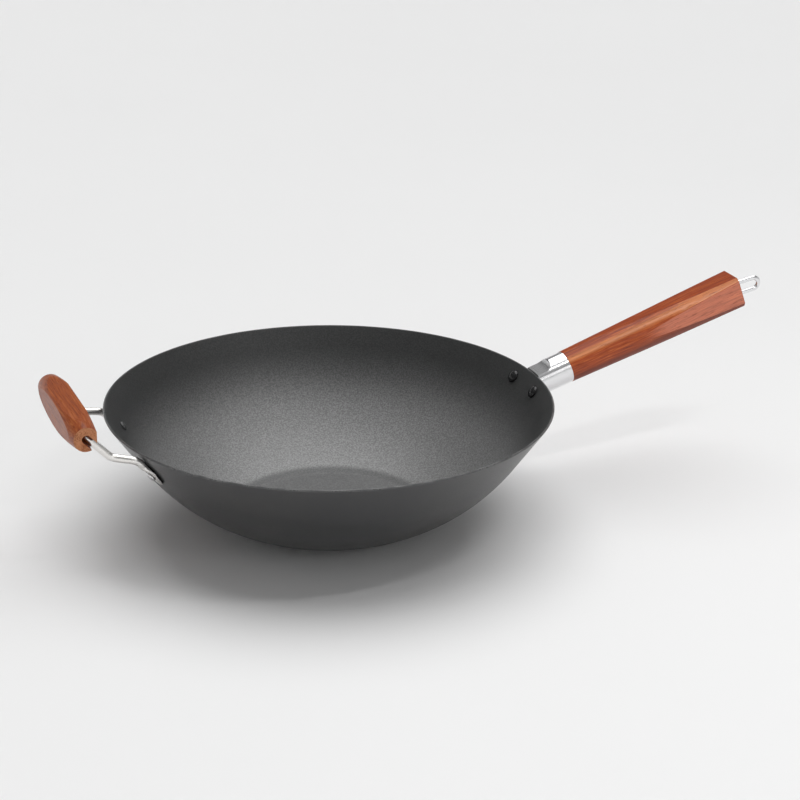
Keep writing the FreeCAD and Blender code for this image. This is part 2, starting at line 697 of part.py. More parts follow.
def make_helper_grip():
    """The wooden barrel on the wire, with four flats, its bore and a notch at each end for the wire's turn."""
    body = new_body("helper_grip")
    sketch = new_sketch(body, "barrel_profile", "XY_Plane")
    half, end_radius, belly = size("helper_length") / 2, size("helper_end_radius"), size("helper_belly_radius")
    bore = size("wire_radius") + size("helper_bore_clearance")
    barrel = (half ** 2 + (belly - end_radius) ** 2) / (2 * (belly - end_radius))
    lean = math.asin(half / barrel)
    sketch.addGeometry([
        segment((half, bore), (half, end_radius)),
        arc(0, belly - barrel, barrel, math.pi / 2 - lean, math.pi / 2 + lean),
        segment((-half, end_radius), (-half, bore)),
        segment((-half, bore), (half, bore)),
    ], False)
    right_end, crown, left_end, core = range(4)
    origin, start, end, y_axis = -1, 1, 2, -2
    constrain(sketch, "Coincident", right_end, end, crown, start)
    constrain(sketch, "Coincident", crown, end, left_end, start)
    constrain(sketch, "Coincident", left_end, end, core, start)
    constrain(sketch, "Coincident", core, end, right_end, start)
    constrain(sketch, "Vertical", right_end)
    constrain(sketch, "Symmetric", core, start, core, end, y_axis)
    constrain(sketch, "Symmetric", crown, start, crown, end, y_axis)
    dimension(sketch, "helper_length", "DistanceX", core, start, core, end, 2 * half)
    dimension(sketch, "wire_radius + helper_bore_clearance", "DistanceY", origin, start, core, end, bore)
    dimension(sketch, "helper_end_radius", "DistanceY", origin, start, crown, start, end_radius)
    rise = "( helper_belly_radius - helper_end_radius )"
    dimension(sketch, f"( ( helper_length / 2 ) ^ 2 + {rise} ^ 2 ) / ( 2 * {rise} )", "Radius", crown, barrel)
    turn = body.newObject("PartDesign::Revolution", "barrel")
    turn.Profile = sketch
    turn.ReferenceAxis = (sketch, ["H_Axis"])
    turn.Angle = FULL_TURN
    doc.recompute()
    flats = [
        ("top", "helper_flat"),
        ("inner", "helper_inner_flat"),
        ("bottom", "helper_flat"),
        ("outer", "helper_flat"),
    ]
    for quarter, (name, distance) in enumerate(flats):
        flat = body.newObject("PartDesign::SubtractiveBox", f"barrel_flat_{name}")
        bind(flat, Length="helper_length", Width="2 * helper_belly_radius", Height="helper_belly_radius")
        flat.Placement = turned(X_AXIS, QUARTER_TURN * quarter) * shifted(-half, -belly, size(distance))
    down = size("helper_rise") + size("knee_drop")
    inward = size("helper_reach") - size("knee_reach")
    leg_roll = HALF_TURN - math.degrees(math.atan2(inward, down))
    notch_start = size("leg_half_gap") - size("wire_bend")
    notch_depth = half - notch_start + CUT_MARGIN
    for name, turn_round in (("left", 0.0), ("right", HALF_TURN)):
        notch = body.newObject("PartDesign::SubtractiveBox", f"barrel_notch_{name}")
        bind(notch, Width="2 * ( wire_radius + helper_bore_clearance )", Height="2 * helper_belly_radius")
        notch.Length = notch_depth
        notch.Placement = (turned(X_AXIS, leg_roll) * turned(Z_AXIS, turn_round)
                           * shifted(notch_start, -bore, 0))
    doc.recompute()
    middle = Vector(-rim_radius - size("helper_reach"), 0, rim_height + size("helper_rise"))
    body.Placement = Placement(middle, Rotation(Z_AXIS, QUARTER_TURN))
    return body


def export(pieces):
    """Checks every object and piece, then writes one file for each piece."""
    doc.recompute()
    failed = [item.Name for item in doc.Objects if {"Invalid", "Error"} & set(item.State)]
    if failed:
        raise RuntimeError(f"objects that failed: {failed}")
    for piece in pieces:
        shape = piece.Shape
        if shape.isNull() or not shape.isValid() or len(shape.Solids) != 1:
            raise RuntimeError(f"{piece.Label} is not one valid solid")
    os.makedirs("parts", exist_ok=True)
    for piece in pieces:
        piece.Shape.exportStep(os.path.join("parts", f"{piece.Label}.step"))
        print(f"{piece.Label}: {piece.Shape.Volume / 1000:.2f} cm3")


export([
    make_bowl(),
    *make_rivets(),
    make_socket(),
    make_long_grip(),
    make_tie_rod(),
    make_loop(),
    make_helper_wire(),
    make_helper_grip(),
])
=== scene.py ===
import logging
import math
from dataclasses import dataclass, field
from enum import Enum
from typing import Any, Union

import bmesh
import bpy
from mathutils import Matrix, Vector


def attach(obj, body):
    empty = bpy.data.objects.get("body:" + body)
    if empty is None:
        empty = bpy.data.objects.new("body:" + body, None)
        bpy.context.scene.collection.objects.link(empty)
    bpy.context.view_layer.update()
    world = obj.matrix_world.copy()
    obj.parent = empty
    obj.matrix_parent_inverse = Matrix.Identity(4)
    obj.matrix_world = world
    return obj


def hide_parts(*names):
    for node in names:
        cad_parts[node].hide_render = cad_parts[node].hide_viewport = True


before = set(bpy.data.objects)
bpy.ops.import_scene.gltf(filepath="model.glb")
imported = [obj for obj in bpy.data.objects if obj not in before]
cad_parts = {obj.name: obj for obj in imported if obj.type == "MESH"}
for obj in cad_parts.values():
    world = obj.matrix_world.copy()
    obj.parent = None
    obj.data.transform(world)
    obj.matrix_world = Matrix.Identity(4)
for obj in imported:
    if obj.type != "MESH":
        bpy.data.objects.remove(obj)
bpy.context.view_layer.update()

log = logging.getLogger("wok")

Colour = tuple[float, float, float]
Triple = tuple[float, float, float]
Pair = tuple[float, float]
Number = Union[float, "Term"]

NOISE_MEAN = 0.5


class Body(Enum):
    """The body that new pieces ride on."""

    WOK = "wok"


class Slot(Enum):
    """The record's finishes for new pieces."""

    BOWL = "bowl_steel"
    RIVET = "rivet_black"
    HELPER_RIVET = "helper_rivet_steel"


class Mark(Enum):
    """Values that shapes keep on their points."""

    INSIDE = "inside"
    LIP = "lip"
    FACING = "facing"


class Term:
    """A value in a node graph, so that node maths reads as sums."""

    def __init__(self, graph: "Graph", socket: bpy.types.NodeSocket) -> None:
        """Keeps the graph and the socket that gives the value."""
        self.graph = graph
        self.socket = socket

    def apply(self, operation: str, *others: Number) -> "Term":
        """One Math node on this value.

        Args:
            operation: The Math node's operation.
            others: Its further operands.

        Returns:
            The result.
        """
        sockets = dict(enumerate([self, *others]))
        return self.graph.term("ShaderNodeMath", {"operation": operation}, sockets)

    def __add__(self, other: Number) -> "Term":
        """This plus another."""
        return self.apply("ADD", other)

    __radd__ = __add__

    def __sub__(self, other: Number) -> "Term":
        """This minus another."""
        return self.apply("SUBTRACT", other)

    def __rsub__(self, other: Number) -> "Term":
        """Another minus this."""
        return self.graph.term("ShaderNodeMath", {"operation": "SUBTRACT"}, {0: other, 1: self})

    def __mul__(self, other: Number) -> "Term":
        """This times another."""
        return self.apply("MULTIPLY", other)

    __rmul__ = __mul__

    def __truediv__(self, other: Number) -> "Term":
        """This over another."""
        return self.apply("DIVIDE", other)

    def __abs__(self) -> "Term":
        """This without its sign."""
        return self.apply("ABSOLUTE")

    def sine(self) -> "Term":
        """Sine of this angle in radians."""
        return self.apply("SINE")

    def cosine(self) -> "Term":
        """Cosine of this angle in radians."""
        return self.apply("COSINE")

    def clamped(self, low: Number, high: Number) -> "Term":
        """This, held between two values.

        Args:
            low: The least value.
            high: The greatest value.

        Returns:
            The held value.
        """
        return self.apply("MAXIMUM", low).apply("MINIMUM", high)

    def between(self, first: float, second: float) -> "Term":
        """From the first value to the second, as this goes from 0 to 1."""
        return first + (second - first) * self

    def ramp(self, start: float, end: float) -> "Term":
        """A smooth rise from 0 to 1 as this goes from start to end.

        Args:
            start: Where the rise begins.
            end: Where it ends.

        Returns:
            The share.
        """
        sockets = {"Value": self, "From Min": start, "From Max": end}
        return self.graph.term("ShaderNodeMapRange", {"interpolation_type": "SMOOTHSTEP"}, sockets)


class Graph:
    """A node tree that is filled by short calls."""

    def __init__(self, tree: bpy.types.NodeTree) -> None:
        """Keeps the tree."""
        self.tree = tree

    def node(self, kind: str, settings: dict[str, Any] | None = None,
             sockets: dict[str | int, Any] | None = None) -> bpy.types.Node:
        """Adds one node.

        Args:
            kind: The node's type.
            settings: Its properties, set first.
            sockets: Values or links of its inputs, by name or number.

        Returns:
            The node.
        """
        made = self.tree.nodes.new(kind)
        for name, value in (settings or {}).items():
            setattr(made, name, value)
        for key, value in (sockets or {}).items():
            self.feed(made.inputs[key], value)
        return made

    def feed(self, socket: bpy.types.NodeSocket, value: Any) -> None:
        """Links a value, or sets it where it is a plain number or colour.

        Args:
            socket: The input to feed.
            value: A Term, an output socket, or a plain value.
        """
        if isinstance(value, Term):
            value = value.socket
        if isinstance(value, bpy.types.NodeSocket):
            self.tree.links.new(value, socket)
        elif socket.type == "RGBA" and len(value) == 3:
            socket.default_value = (*value, 1.0)
        else:
            socket.default_value = value

    def term(self, kind: str, settings: dict[str, Any] | None = None,
             sockets: dict[str | int, Any] | None = None, output: str | int = 0) -> Term:
        """Adds one node and gives one of its outputs as a value.

        Args:
            kind: The node's type.
            settings: Its properties.
            sockets: Values or links of its inputs.
            output: Name or number of the output.

        Returns:
            That output.
        """
        return Term(self, self.node(kind, settings, sockets).outputs[output])

    def mix(self, first: Any, second: Any, share: Number) -> bpy.types.NodeSocket:
        """A colour between two others.

        Args:
            first: The colour at share 0.
            second: The colour at share 1.
            share: How far from the first to the second.

        Returns:
            The colour's socket.
        """
        # The node's sockets share their names: 6 and 7 take the colours, and output 2 gives the result.
        made = self.node("ShaderNodeMix", {"data_type": "RGBA"}, {0: share, 6: first, 7: second})
        return made.outputs[2]

    def parts(self, vector: Any) -> tuple[Term, Term, Term]:
        """The three parts of a vector.

        Args:
            vector: The vector's socket.

        Returns:
            Its x, y and z.
        """
        made = self.node("ShaderNodeSeparateXYZ", None, {0: vector})
        return Term(self, made.outputs[0]), Term(self, made.outputs[1]), Term(self, made.outputs[2])

    def joined(self, x: Number, y: Number, z: Number) -> Term:
        """A vector from its three parts.

        Args:
            x: First part.
            y: Second part.
            z: Third part.

        Returns:
            The vector.
        """
        return self.term("ShaderNodeCombineXYZ", None, {0: x, 1: y, 2: z})

    def mark(self, mark: Mark) -> Term:
        """A value that the shape keeps on its points."""
        return self.term("ShaderNodeAttribute", {"attribute_name": mark.value}, None, "Fac")

    def noise(self, place: Any, scale: float, detail: float = 3.0, roughness: float = 0.55) -> Term:
        """Plain noise around 0.5.

        Args:
            place: Coordinates.
            scale: Waves per unit of the coordinates.
            detail: Finer octaves.
            roughness: Strength of the finer octaves.

        Returns:
            The noise.
        """
        sockets = {"Vector": place, "Scale": scale, "Detail": detail, "Roughness": roughness}
        return self.term("ShaderNodeTexNoise", None, sockets, "Fac")


class Finish:
    """A material made of nodes on a piece's own coordinates."""

    name: str

    def material(self) -> bpy.types.Material:
        """Builds the material once.

        Returns:
            The material.
        """
        found = bpy.data.materials.get(self.name)
        if found is not None:
            return found
        made = bpy.data.materials.new(self.name)
        made.use_nodes = True
        made.node_tree.nodes.clear()
        graph = Graph(made.node_tree)
        shader = graph.node("ShaderNodeBsdfPrincipled")
        graph.node("ShaderNodeOutputMaterial", None, {"Surface": shader.outputs[0]})
        place = graph.node("ShaderNodeTexCoord")
        self.paint(graph, shader, place)
        return made

    def paint(self, graph: Graph, shader: bpy.types.Node, place: bpy.types.Node) -> None:
        """Fills the shader's sockets.

        Args:
            graph: The material's graph.
            shader: Its shader.
            place: Its texture coordinates.
        """
        raise NotImplementedError

    @staticmethod
    def raise_surface(graph: Graph, shader: bpy.types.Node, height: Term, depth: float) -> None:
        """Bumps the surface by a height.

        Args:
            graph: The material's graph.
            shader: Its shader.
            height: The height, from 0 to 1.
            depth: What a height of 1 means, in metres.
        """
        bump = graph.node("ShaderNodeBump", None, {"Height": height, "Distance": depth, "Strength": 1.0})
        graph.feed(shader.inputs["Normal"], bump.outputs[0])


@dataclass(frozen=True)
class SeasonedSteel(Finish):
    """Dark burnt-in carbon steel: pebbled and matt inside, smoother outside, bare along the rim."""

    name: str = "seasoned_steel"
    inside: Colour = (0.154, 0.155, 0.155)
    inside_pale: Colour = (0.275, 0.276, 0.276)
    inside_rim_shade: Colour = (0.018, 0.019, 0.019)
    outside: Colour = (0.094, 0.094, 0.096)
    outside_warm: Colour = (0.108, 0.107, 0.106)
    bare: Colour = (0.16, 0.16, 0.16)
    # Heights of the painted shade inside: where the wall darkens towards the rim, where the darker base ends
    # and where the darker ring round the base begins
    dark_heights: Pair = (0.035, 0.083)
    base_heights: Pair = (0.0032, 0.0056)
    ring_heights: Pair = (0.0018, 0.0026)
    rim_light: float = 0.16
    base_shade: float = 0.40
    ring_shade: float = 0.14
    pebble_scale: float = 760.0
    pebble_depth: float = 0.00017
    speck_scale: float = 1672.0
    speck_share: float = 0.3
    speck_relief: float = 0.2
    pale_span: Pair = (0.36, 0.66)
    cloud_scale: float = 9.0
    cloud_pale: Pair = (0.75, 1.25)
    cloud_warm: Pair = (0.48, 0.70)
    worn_scale: float = 70.0
    worn_span: Pair = (0.30, 0.62)
    worn_share: float = 0.8
    # Outside first, then inside
    metal: Pair = (0.6, 0.5)
    rough: Pair = (0.33, 0.54)
    relief: Pair = (0.15, 1.0)
    pebble_rough: float = 0.12
    cloud_rough: float = 0.08
    worn_polish: float = 0.15

    def paint(self, graph: Graph, shader: bpy.types.Node, place: bpy.types.Node) -> None:
        """Speckled inside, with painted shade towards the rim and on the base, clouded outside, and a worn
        line on the lip.

        Args:
            graph: The material's graph.
            shader: Its shader.
            place: Its texture coordinates.
        """
        where = place.outputs["Object"]
        inner = graph.mark(Mark.INSIDE)
        pebbles = graph.noise(where, self.pebble_scale, detail=2.0, roughness=0.6)
        specks = graph.noise(where, self.speck_scale, detail=1.0)
        clouds = graph.noise(where, self.cloud_scale, detail=4.0)
        pale = ((1.0 - self.speck_share) * pebbles + self.speck_share * specks).ramp(*self.pale_span)
        inner_colour = graph.mix(self.inside, self.inside_pale, pale * clouds.between(*self.cloud_pale))
        # Painted shade by height: darker towards the rim, on the base and on the ring round the base
        inner_colour = graph.mix(self.inside_rim_shade, inner_colour, self.painted_shade_by_height(graph, where))
        outer_colour = graph.mix(self.outside, self.outside_warm, clouds.ramp(*self.cloud_warm))
        colour = graph.mix(outer_colour, inner_colour, inner)
        worn = graph.mark(Mark.LIP) * graph.noise(where, self.worn_scale).ramp(*self.worn_span)
        graph.feed(shader.inputs["Base Color"], graph.mix(colour, self.bare, self.worn_share * worn))
        graph.feed(shader.inputs["Metallic"], inner.between(*self.metal))
        rough = inner.between(*self.rough) - self.worn_polish * worn
        rough = rough + self.pebble_rough * (pebbles - NOISE_MEAN) + self.cloud_rough * (clouds - NOISE_MEAN)
        graph.feed(shader.inputs["Roughness"], rough)
        bumps = (1.0 - self.speck_relief) * pebbles + self.speck_relief * specks
        self.raise_surface(graph, shader, inner.between(*self.relief) * bumps, self.pebble_depth)

    def painted_shade_by_height(self, graph: Graph, where: Any) -> Term:
        """Painted shade on the inside by its height: darker towards the rim, and darker on the base and on
        the ring round it.

        Args:
            graph: The material's graph.
            where: The piece's own coordinates.

        Returns:
            The share of the pale tone.
        """
        _, _, height = graph.parts(where)
        wall = 1.0 - height.ramp(*self.dark_heights)
        base = 1.0 - height.ramp(*self.base_heights)
        bend = base * height.ramp(*self.ring_heights)
        return wall.between(self.rim_light, 1.0) - self.base_shade * base - self.ring_shade * bend


@dataclass(frozen=True)
class PolishedSteel(Finish):
    """Bright polished steel with fine drawn lines along one direction and a few dull spots."""

    name: str = "polished_steel"
    colour: Colour = (0.80, 0.80, 0.81)
    dull: Colour = (0.62, 0.62, 0.63)
    turn: Triple = (0.0, 0.0, 0.0)
    rough: float = 0.07
    line_scale: float = 900.0
    line_stretch: float = 0.04
    line_span: Pair = (0.55, 0.80)
    line_wear: float = 0.2
    line_rough: float = 0.05
    line_depth: float = 0.00001
    dull_scale: float = 60.0
    dull_span: Pair = (0.50, 0.75)
    dull_wear: float = 0.35
    dull_rough: float = 0.10

    def paint(self, graph: Graph, shader: bpy.types.Node, place: bpy.types.Node) -> None:
        """Polish lines and faint dull clouds.

        Args:
            graph: The material's graph.
            shader: Its shader.
            place: Its texture coordinates.
        """
        own = {"Vector": place.outputs["Object"], "Rotation": self.turn}
        along = graph.node("ShaderNodeMapping", {"vector_type": "TEXTURE"}, own)
        x, y, z = graph.parts(along.outputs[0])
        lines = graph.noise(graph.joined(self.line_stretch * x, y, z), self.line_scale, detail=2.0)
        dull = graph.noise(place.outputs["Object"], self.dull_scale).ramp(*self.dull_span)
        wear = self.dull_wear * dull + self.line_wear * lines.ramp(*self.line_span)
        graph.feed(shader.inputs["Base Color"], graph.mix(self.colour, self.dull, wear))
        shader.inputs["Metallic"].default_value = 1.0
        graph.feed(shader.inputs["Roughness"], self.rough + self.dull_rough * dull + self.line_rough * lines)
        self.raise_surface(graph, shader, lines, self.line_depth)


@dataclass(frozen=True)
class LacqueredWood(Finish):
    """Reddish-brown hardwood under lacquer, with straight grain along its own axis."""

    name: str = "lacquered_wood"
    dark: Colour = (0.180, 0.026, 0.005)
    middle: Colour = (0.445, 0.068, 0.006)
    pale: Colour = (0.640, 0.152, 0.024)
    end_dark: Colour = (0.300, 0.095, 0.036)
    end_pale: Colour = (0.560, 0.240, 0.115)
    flank_tone_and_sheen: Colour = (0.840, 0.300, 0.190)
    shoulder_highlight: Colour = (0.860, 0.320, 0.110)
    painted_shade: Colour = (0.150, 0.020, 0.004)
    painted_light_share: float = 0.0
    # Painted light and shade by how far the surface faces sideways, up or down: a painted highlight on the
    # shoulders, paler flanks that are partly a painted sheen, also found by their place along the axis, and
    # painted shade on the top and underside
    shoulder_start: Pair = (0.48, 0.68)
    shoulder_end: Pair = (0.76, 0.88)
    shoulder_upward: Pair = (0.0, 0.3)
    flank_facing: Pair = (0.965, 0.985)
    flank_places: Pair = (0.103, 0.133)
    under_facing: Pair = (0.1, 0.5)
    top_shade: float = 0.5
    under_shade: float = 1.4
    origin: Triple = (0.0, 0.0, 0.0)
    turn: Triple = (0.0, 0.0, 0.0)
    # Grain: how much it is drawn out along the axis, how fine it is, and how it counts
    wander: float = 0.004
    wander_scale: float = 14.0
    wander_round: float = 0.3
    band_stretch: float = 0.03
    band_scale: float = 190.0
    band_share: float = 0.25
    fibre_stretch: float = 0.05
    fibre_scale: float = 760.0
    tone_span: Pair = (0.22, 0.78)
    dark_span: Pair = (0.0, 0.55)
    pale_span: Pair = (0.5, 1.0)
    pore_stretch: float = 0.07
    pore_scale: float = 1520.0
    pore_span: Pair = (0.56, 0.72)
    pore_depth: float = 0.00006
    pore_relief: float = 0.7
    pore_shade: float = 0.45
    grain_shade: float = 0.30
    # End grain
    end_facing: Pair = (0.86, 0.96)
    end_stretch: float = 0.2
    end_scale: float = 1500.0
    end_bands: float = 0.4
    end_span: Pair = (0.42, 0.66)
    # Lacquer, and what it loses on pores, ends, the top and edge-on
    gloss: float = 0.7
    gloss_rough: float = 0.27
    pore_loss: float = 0.25
    end_loss: float = 0.7
    top_loss: float = 0.6
    top_facing: Pair = (0.80, 0.96)
    edge_loss: float = 0.9
    edge_span: Pair = (0.2, 0.8)
    rough: float = 0.42
    pore_rough: float = 0.16
    fibre_rough: float = 0.10
    end_rough: float = 0.2
    specular: float = 0.1

    def paint(self, graph: Graph, shader: bpy.types.Node, place: bpy.types.Node) -> None:
        """Broad bands, fibres and dark pores along the grain, and paler specked end grain.

        Args:
            graph: The material's graph.
            shader: Its shader.
            place: Its texture coordinates.
        """
        own = {"Vector": place.outputs["Object"], "Location": self.origin, "Rotation": self.turn}
        along = graph.node("ShaderNodeMapping", {"vector_type": "TEXTURE"}, own)
        x, y, z = graph.parts(along.outputs[0])
        back = {"Vector": place.outputs["Normal"], "Rotation": tuple(-angle for angle in self.turn)}
        turned = graph.node("ShaderNodeMapping", {"vector_type": "NORMAL"}, back)
        facing, sideways, upward = graph.parts(turned.outputs[0])
        top = upward.ramp(*self.top_facing)
        end = abs(facing).ramp(*self.end_facing)
        slow = graph.joined(x, self.wander_round * y, self.wander_round * z)
        wander = self.wander * (graph.noise(slow, self.wander_scale, detail=2.0) - NOISE_MEAN)
        across, above = y + wander, z + wander
        bands = graph.noise(graph.joined(self.band_stretch * x, across, above), self.band_scale, detail=2.0)
        fibre = graph.joined(self.fibre_stretch * x, across, above)
        fibres = graph.noise(fibre, self.fibre_scale, roughness=0.6)
        pores = graph.noise(graph.joined(self.pore_stretch * x, across, z), self.pore_scale, detail=2.0)
        pore = pores.ramp(*self.pore_span)
        tone = (self.band_share * bands + (1.0 - self.band_share) * fibres).ramp(*self.tone_span)
        body = graph.mix(self.dark, self.middle, tone.ramp(*self.dark_span))
        body = graph.mix(body, self.pale, tone.ramp(*self.pale_span))
        # Painted light and shade by which way the surface faces
        body = self.painted_light_and_shade(graph, body, x, abs(sideways), upward, top)
        body = graph.mix(body, self.dark, self.pore_shade * pore + self.grain_shade * (1.0 - tone))
        specks = graph.noise(graph.joined(self.end_stretch * x, y, z), self.end_scale, detail=2.0)
        end_tone = ((1.0 - self.end_bands) * specks + self.end_bands * bands).ramp(*self.end_span)
        end_colour = graph.mix(self.end_pale, self.end_dark, end_tone)
        graph.feed(shader.inputs["Base Color"], graph.mix(body, end_colour, end))
        rough = self.rough + self.pore_rough * pore + self.fibre_rough * (fibres - NOISE_MEAN)
        graph.feed(shader.inputs["Roughness"], rough + self.end_rough * end)
        edge_on = graph.term("ShaderNodeLayerWeight", None, {"Blend": 0.5}, "Facing").ramp(*self.edge_span)
        gloss = self.gloss * (1.0 - self.pore_loss * pore - self.end_loss * end) * (1.0 - self.top_loss * top)
        graph.feed(shader.inputs["Coat Weight"], gloss * (1.0 - self.edge_loss * edge_on))
        shader.inputs["Coat Roughness"].default_value = self.gloss_rough
        shader.inputs["Specular IOR Level"].default_value = self.specular
        relief = 1.0 - self.pore_relief * pore - (1.0 - self.pore_relief) * fibres
        self.raise_surface(graph, shader, relief, self.pore_depth)

    def painted_light_and_shade(self, graph: Graph, body: Any, x: Term, side: Term, upward: Term, top: Term) -> Any:
        """Painted light and shade round the grip: a painted highlight on the shoulders, paler cut flanks that
        are partly the cut grain's own tone and partly a painted sheen, and painted shade on the top and
        underside.

        Args:
            graph: The material's graph.
            body: The grained colour.
            x: Distance along the grip's axis.
            side: How far the surface faces sideways, either way.
            upward: How far it faces up.
            top: Share of the top.

        Returns:
            The colour with its painted light and shade.
        """
        if not self.painted_light_share:
            return body
        # Painted highlight: a paler band along both shoulders of the grip
        shoulder = side.ramp(*self.shoulder_start) * (1.0 - side.ramp(*self.shoulder_end))
        shoulder = shoulder * upward.ramp(*self.shoulder_upward)
        body = graph.mix(body, self.shoulder_highlight, self.painted_light_share * shoulder)
        # Paler cut flanks: partly the cut grain's own paler tone, partly a painted sheen
        flank_tone_and_sheen = side.ramp(*self.flank_facing) * x.ramp(*self.flank_places)
        body = graph.mix(body, self.flank_tone_and_sheen, self.painted_light_share * flank_tone_and_sheen)
        # Painted shade on the top and the underside
        under = (0.0 - upward).ramp(*self.under_facing)
        painted_shade = self.top_shade * top + self.under_shade * under
        return graph.mix(body, self.painted_shade, self.painted_light_share * painted_shade)


@dataclass(frozen=True)
class BlackRivet(Finish):
    """Glossy black rivet heads with faint hammer marks."""

    name: str = "black_rivet"
    colour: Colour = (0.012, 0.012, 0.013)
    worn: Colour = (0.05, 0.05, 0.05)
    mark_scale: float = 420.0
    mark_depth: float = 0.00008
    dull_span: Pair = (0.52, 0.74)
    dull_rough: float = 0.12
    rough: float = 0.09
    metal: float = 0.3

    def paint(self, graph: Graph, shader: bpy.types.Node, place: bpy.types.Node) -> None:
        """Black with small dull marks.

        Args:
            graph: The material's graph.
            shader: Its shader.
            place: Its texture coordinates.
        """
        marks = graph.noise(place.outputs["Object"], self.mark_scale)
        dull = marks.ramp(*self.dull_span)
        graph.feed(shader.inputs["Base Color"], graph.mix(self.colour, self.worn, dull))
        graph.feed(shader.inputs["Roughness"], self.rough + self.dull_rough * dull)
        shader.inputs["Metallic"].default_value = self.metal
        self.raise_surface(graph, shader, marks, self.mark_depth)


@dataclass(frozen=True)
class BurntInRivet(Finish):
    """Bright rivet ends outside the bowl. The heads inside it are as dark and matt as the bowl."""

    name: str = "burnt_in_rivet"
    bright: Colour = (0.74, 0.74, 0.75)
    scuffed: Colour = (0.52, 0.51, 0.50)
    burnt: Colour = (0.100, 0.101, 0.101)
    scuff_scale: float = 500.0
    scuff_depth: float = 0.00006
    scuff_span: Pair = (0.45, 0.70)
    scuff_rough: float = 0.12
    # Outside first, then inside
    metal: Pair = (1.0, 0.8)
    rough: Pair = (0.12, 0.38)

    def paint(self, graph: Graph, shader: bpy.types.Node, place: bpy.types.Node) -> None:
        """Scuffed steel outside and a dark skin inside.

        Args:
            graph: The material's graph.
            shader: Its shader.
            place: Its texture coordinates.
        """
        inner = graph.mark(Mark.INSIDE)
        scuffs = graph.noise(place.outputs["Object"], self.scuff_scale)
        steel = graph.mix(self.bright, self.scuffed, scuffs.ramp(*self.scuff_span))
        graph.feed(shader.inputs["Base Color"], graph.mix(steel, self.burnt, inner))
        graph.feed(shader.inputs["Metallic"], inner.between(*self.metal))
        graph.feed(shader.inputs["Roughness"], inner.between(*self.rough) + self.scuff_rough * scuffs)
        self.raise_surface(graph, shader, scuffs, self.scuff_depth)


@dataclass(frozen=True)
class PaleFloor(Finish):
    """A plain pale studio floor and backdrop."""

    name: str = "pale_floor"
    colour: Colour = (0.87, 0.87, 0.87)
    shade: Colour = (0.85, 0.85, 0.85)
    cloud_scale: float = 2.0
    rough: float = 0.9

    def paint(self, graph: Graph, shader: bpy.types.Node, place: bpy.types.Node) -> None:
        """Even and matt.

        Args:
            graph: The material's graph.
            shader: Its shader.
            place: Its texture coordinates.
        """
        cloud = graph.noise(place.outputs["Object"], self.cloud_scale, detail=2.0)
        graph.feed(shader.inputs["Base Color"], graph.mix(self.colour, self.shade, cloud))
        shader.inputs["Roughness"].default_value = self.rough
        shader.inputs["Specular IOR Level"].default_value = 0.0


def added(name: str, data: bpy.types.ID) -> bpy.types.Object:
    """Adds an object to the scene.

    Args:
        name: The object's name.
        data: Its mesh, lamp or camera.

    Returns:
        The object.
    """
    made = bpy.data.objects.new(name, data)
    bpy.context.scene.collection.objects.link(made)
    return made


def ring(radius: float, height: float, sides: int) -> list[Triple]:
    """Points on a level circle round the Z axis.

    Args:
        radius: The circle's radius.
        height: Its height.
        sides: How many points it has.

    Returns:
        The points.
    """
    turns = [2 * math.pi * side / sides for side in range(sides)]
    return [(radius * math.cos(turn), radius * math.sin(turn), height) for turn in turns]


def quarter(steps: int) -> list[float]:
    """Angles from 0 to a quarter turn in equal steps, in radians."""
    return [math.pi / 2 * step / steps for step in range(steps + 1)]


